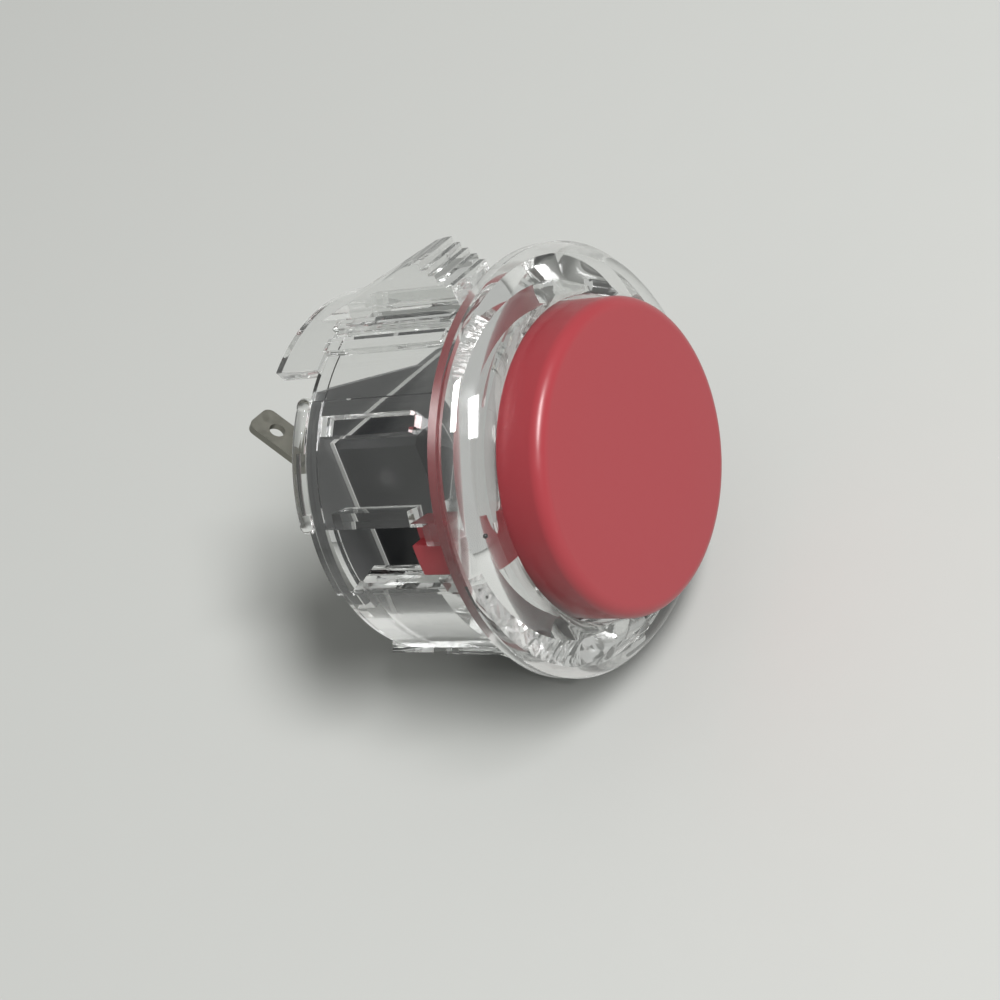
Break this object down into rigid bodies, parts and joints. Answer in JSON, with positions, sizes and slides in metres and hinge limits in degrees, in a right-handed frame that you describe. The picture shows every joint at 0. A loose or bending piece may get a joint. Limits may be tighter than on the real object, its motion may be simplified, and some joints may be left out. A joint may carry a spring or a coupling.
{
  "type": "snap-in push button",
  "caption": "Round snap-in push button with a clear domed bezel, a flat red plunger, sprung snap arms and a switch box with bent solder tabs behind.",
  "frame": {"origin": "centre of the flange's seat, in the plane of the panel's front face", "axes": "+Z runs out of the plunger along its stroke, X runs through the two snap arms, Y through the two key windows"},
  "size_m": [0.0366, 0.0334, 0.0309],
  "materials": {
    "clear_plastic": "clear polished moulding",
    "red_plastic": "opaque red moulding with a soft gloss",
    "black_plastic": "black moulding",
    "white_plastic": "natural white low-friction plastic",
    "spring_steel": "drawn steel wire",
    "copper_alloy": "rolled copper alloy strip",
    "contact_silver": "bare silver alloy",
    "tinned_brass": "dull tinned brass strip"
  },
  "bodies": {
    "housing": {"body": "clear_plastic", "switch_base": "black_plastic", "switch_case": "black_plastic", "common_terminal": "tinned_brass", "open_terminal": "tinned_brass", "fixed_contact": "contact_silver", "return_spring": "spring_steel"},
    "plunger": {"plunger": "red_plastic"},
    "actuator": {"actuator": "white_plastic"},
    "blade": {"contact_blade": "copper_alloy", "moving_contact": "contact_silver"}
  },
  "joints": [
    {"name": "plunger_press", "type": "slide", "parent": "housing", "child": "plunger", "axis": [0, 0, -1], "range_m": [0, 0.002], "stiffness_N_per_m": 250, "springref_m": -0.003},
    {"name": "actuator_press", "type": "slide", "parent": "housing", "child": "actuator", "axis": [0, 0, -1], "range_m": [0, 0.002], "deforming": ["return_spring"]},
    {"name": "blade_bend", "type": "hinge", "parent": "housing", "child": "blade", "pos_m": [0.0036, 0.0054, -0.00915], "axis": [0, -1, 0], "range_deg": [0, 7.5]}
  ],
  "couplings": [
    {"joint": "actuator_press", "follows": "plunger_press", "ratio": 1},
    {"joint": "blade_bend", "follows": "plunger_press", "rad_per_m": 65.44}
  ]
}
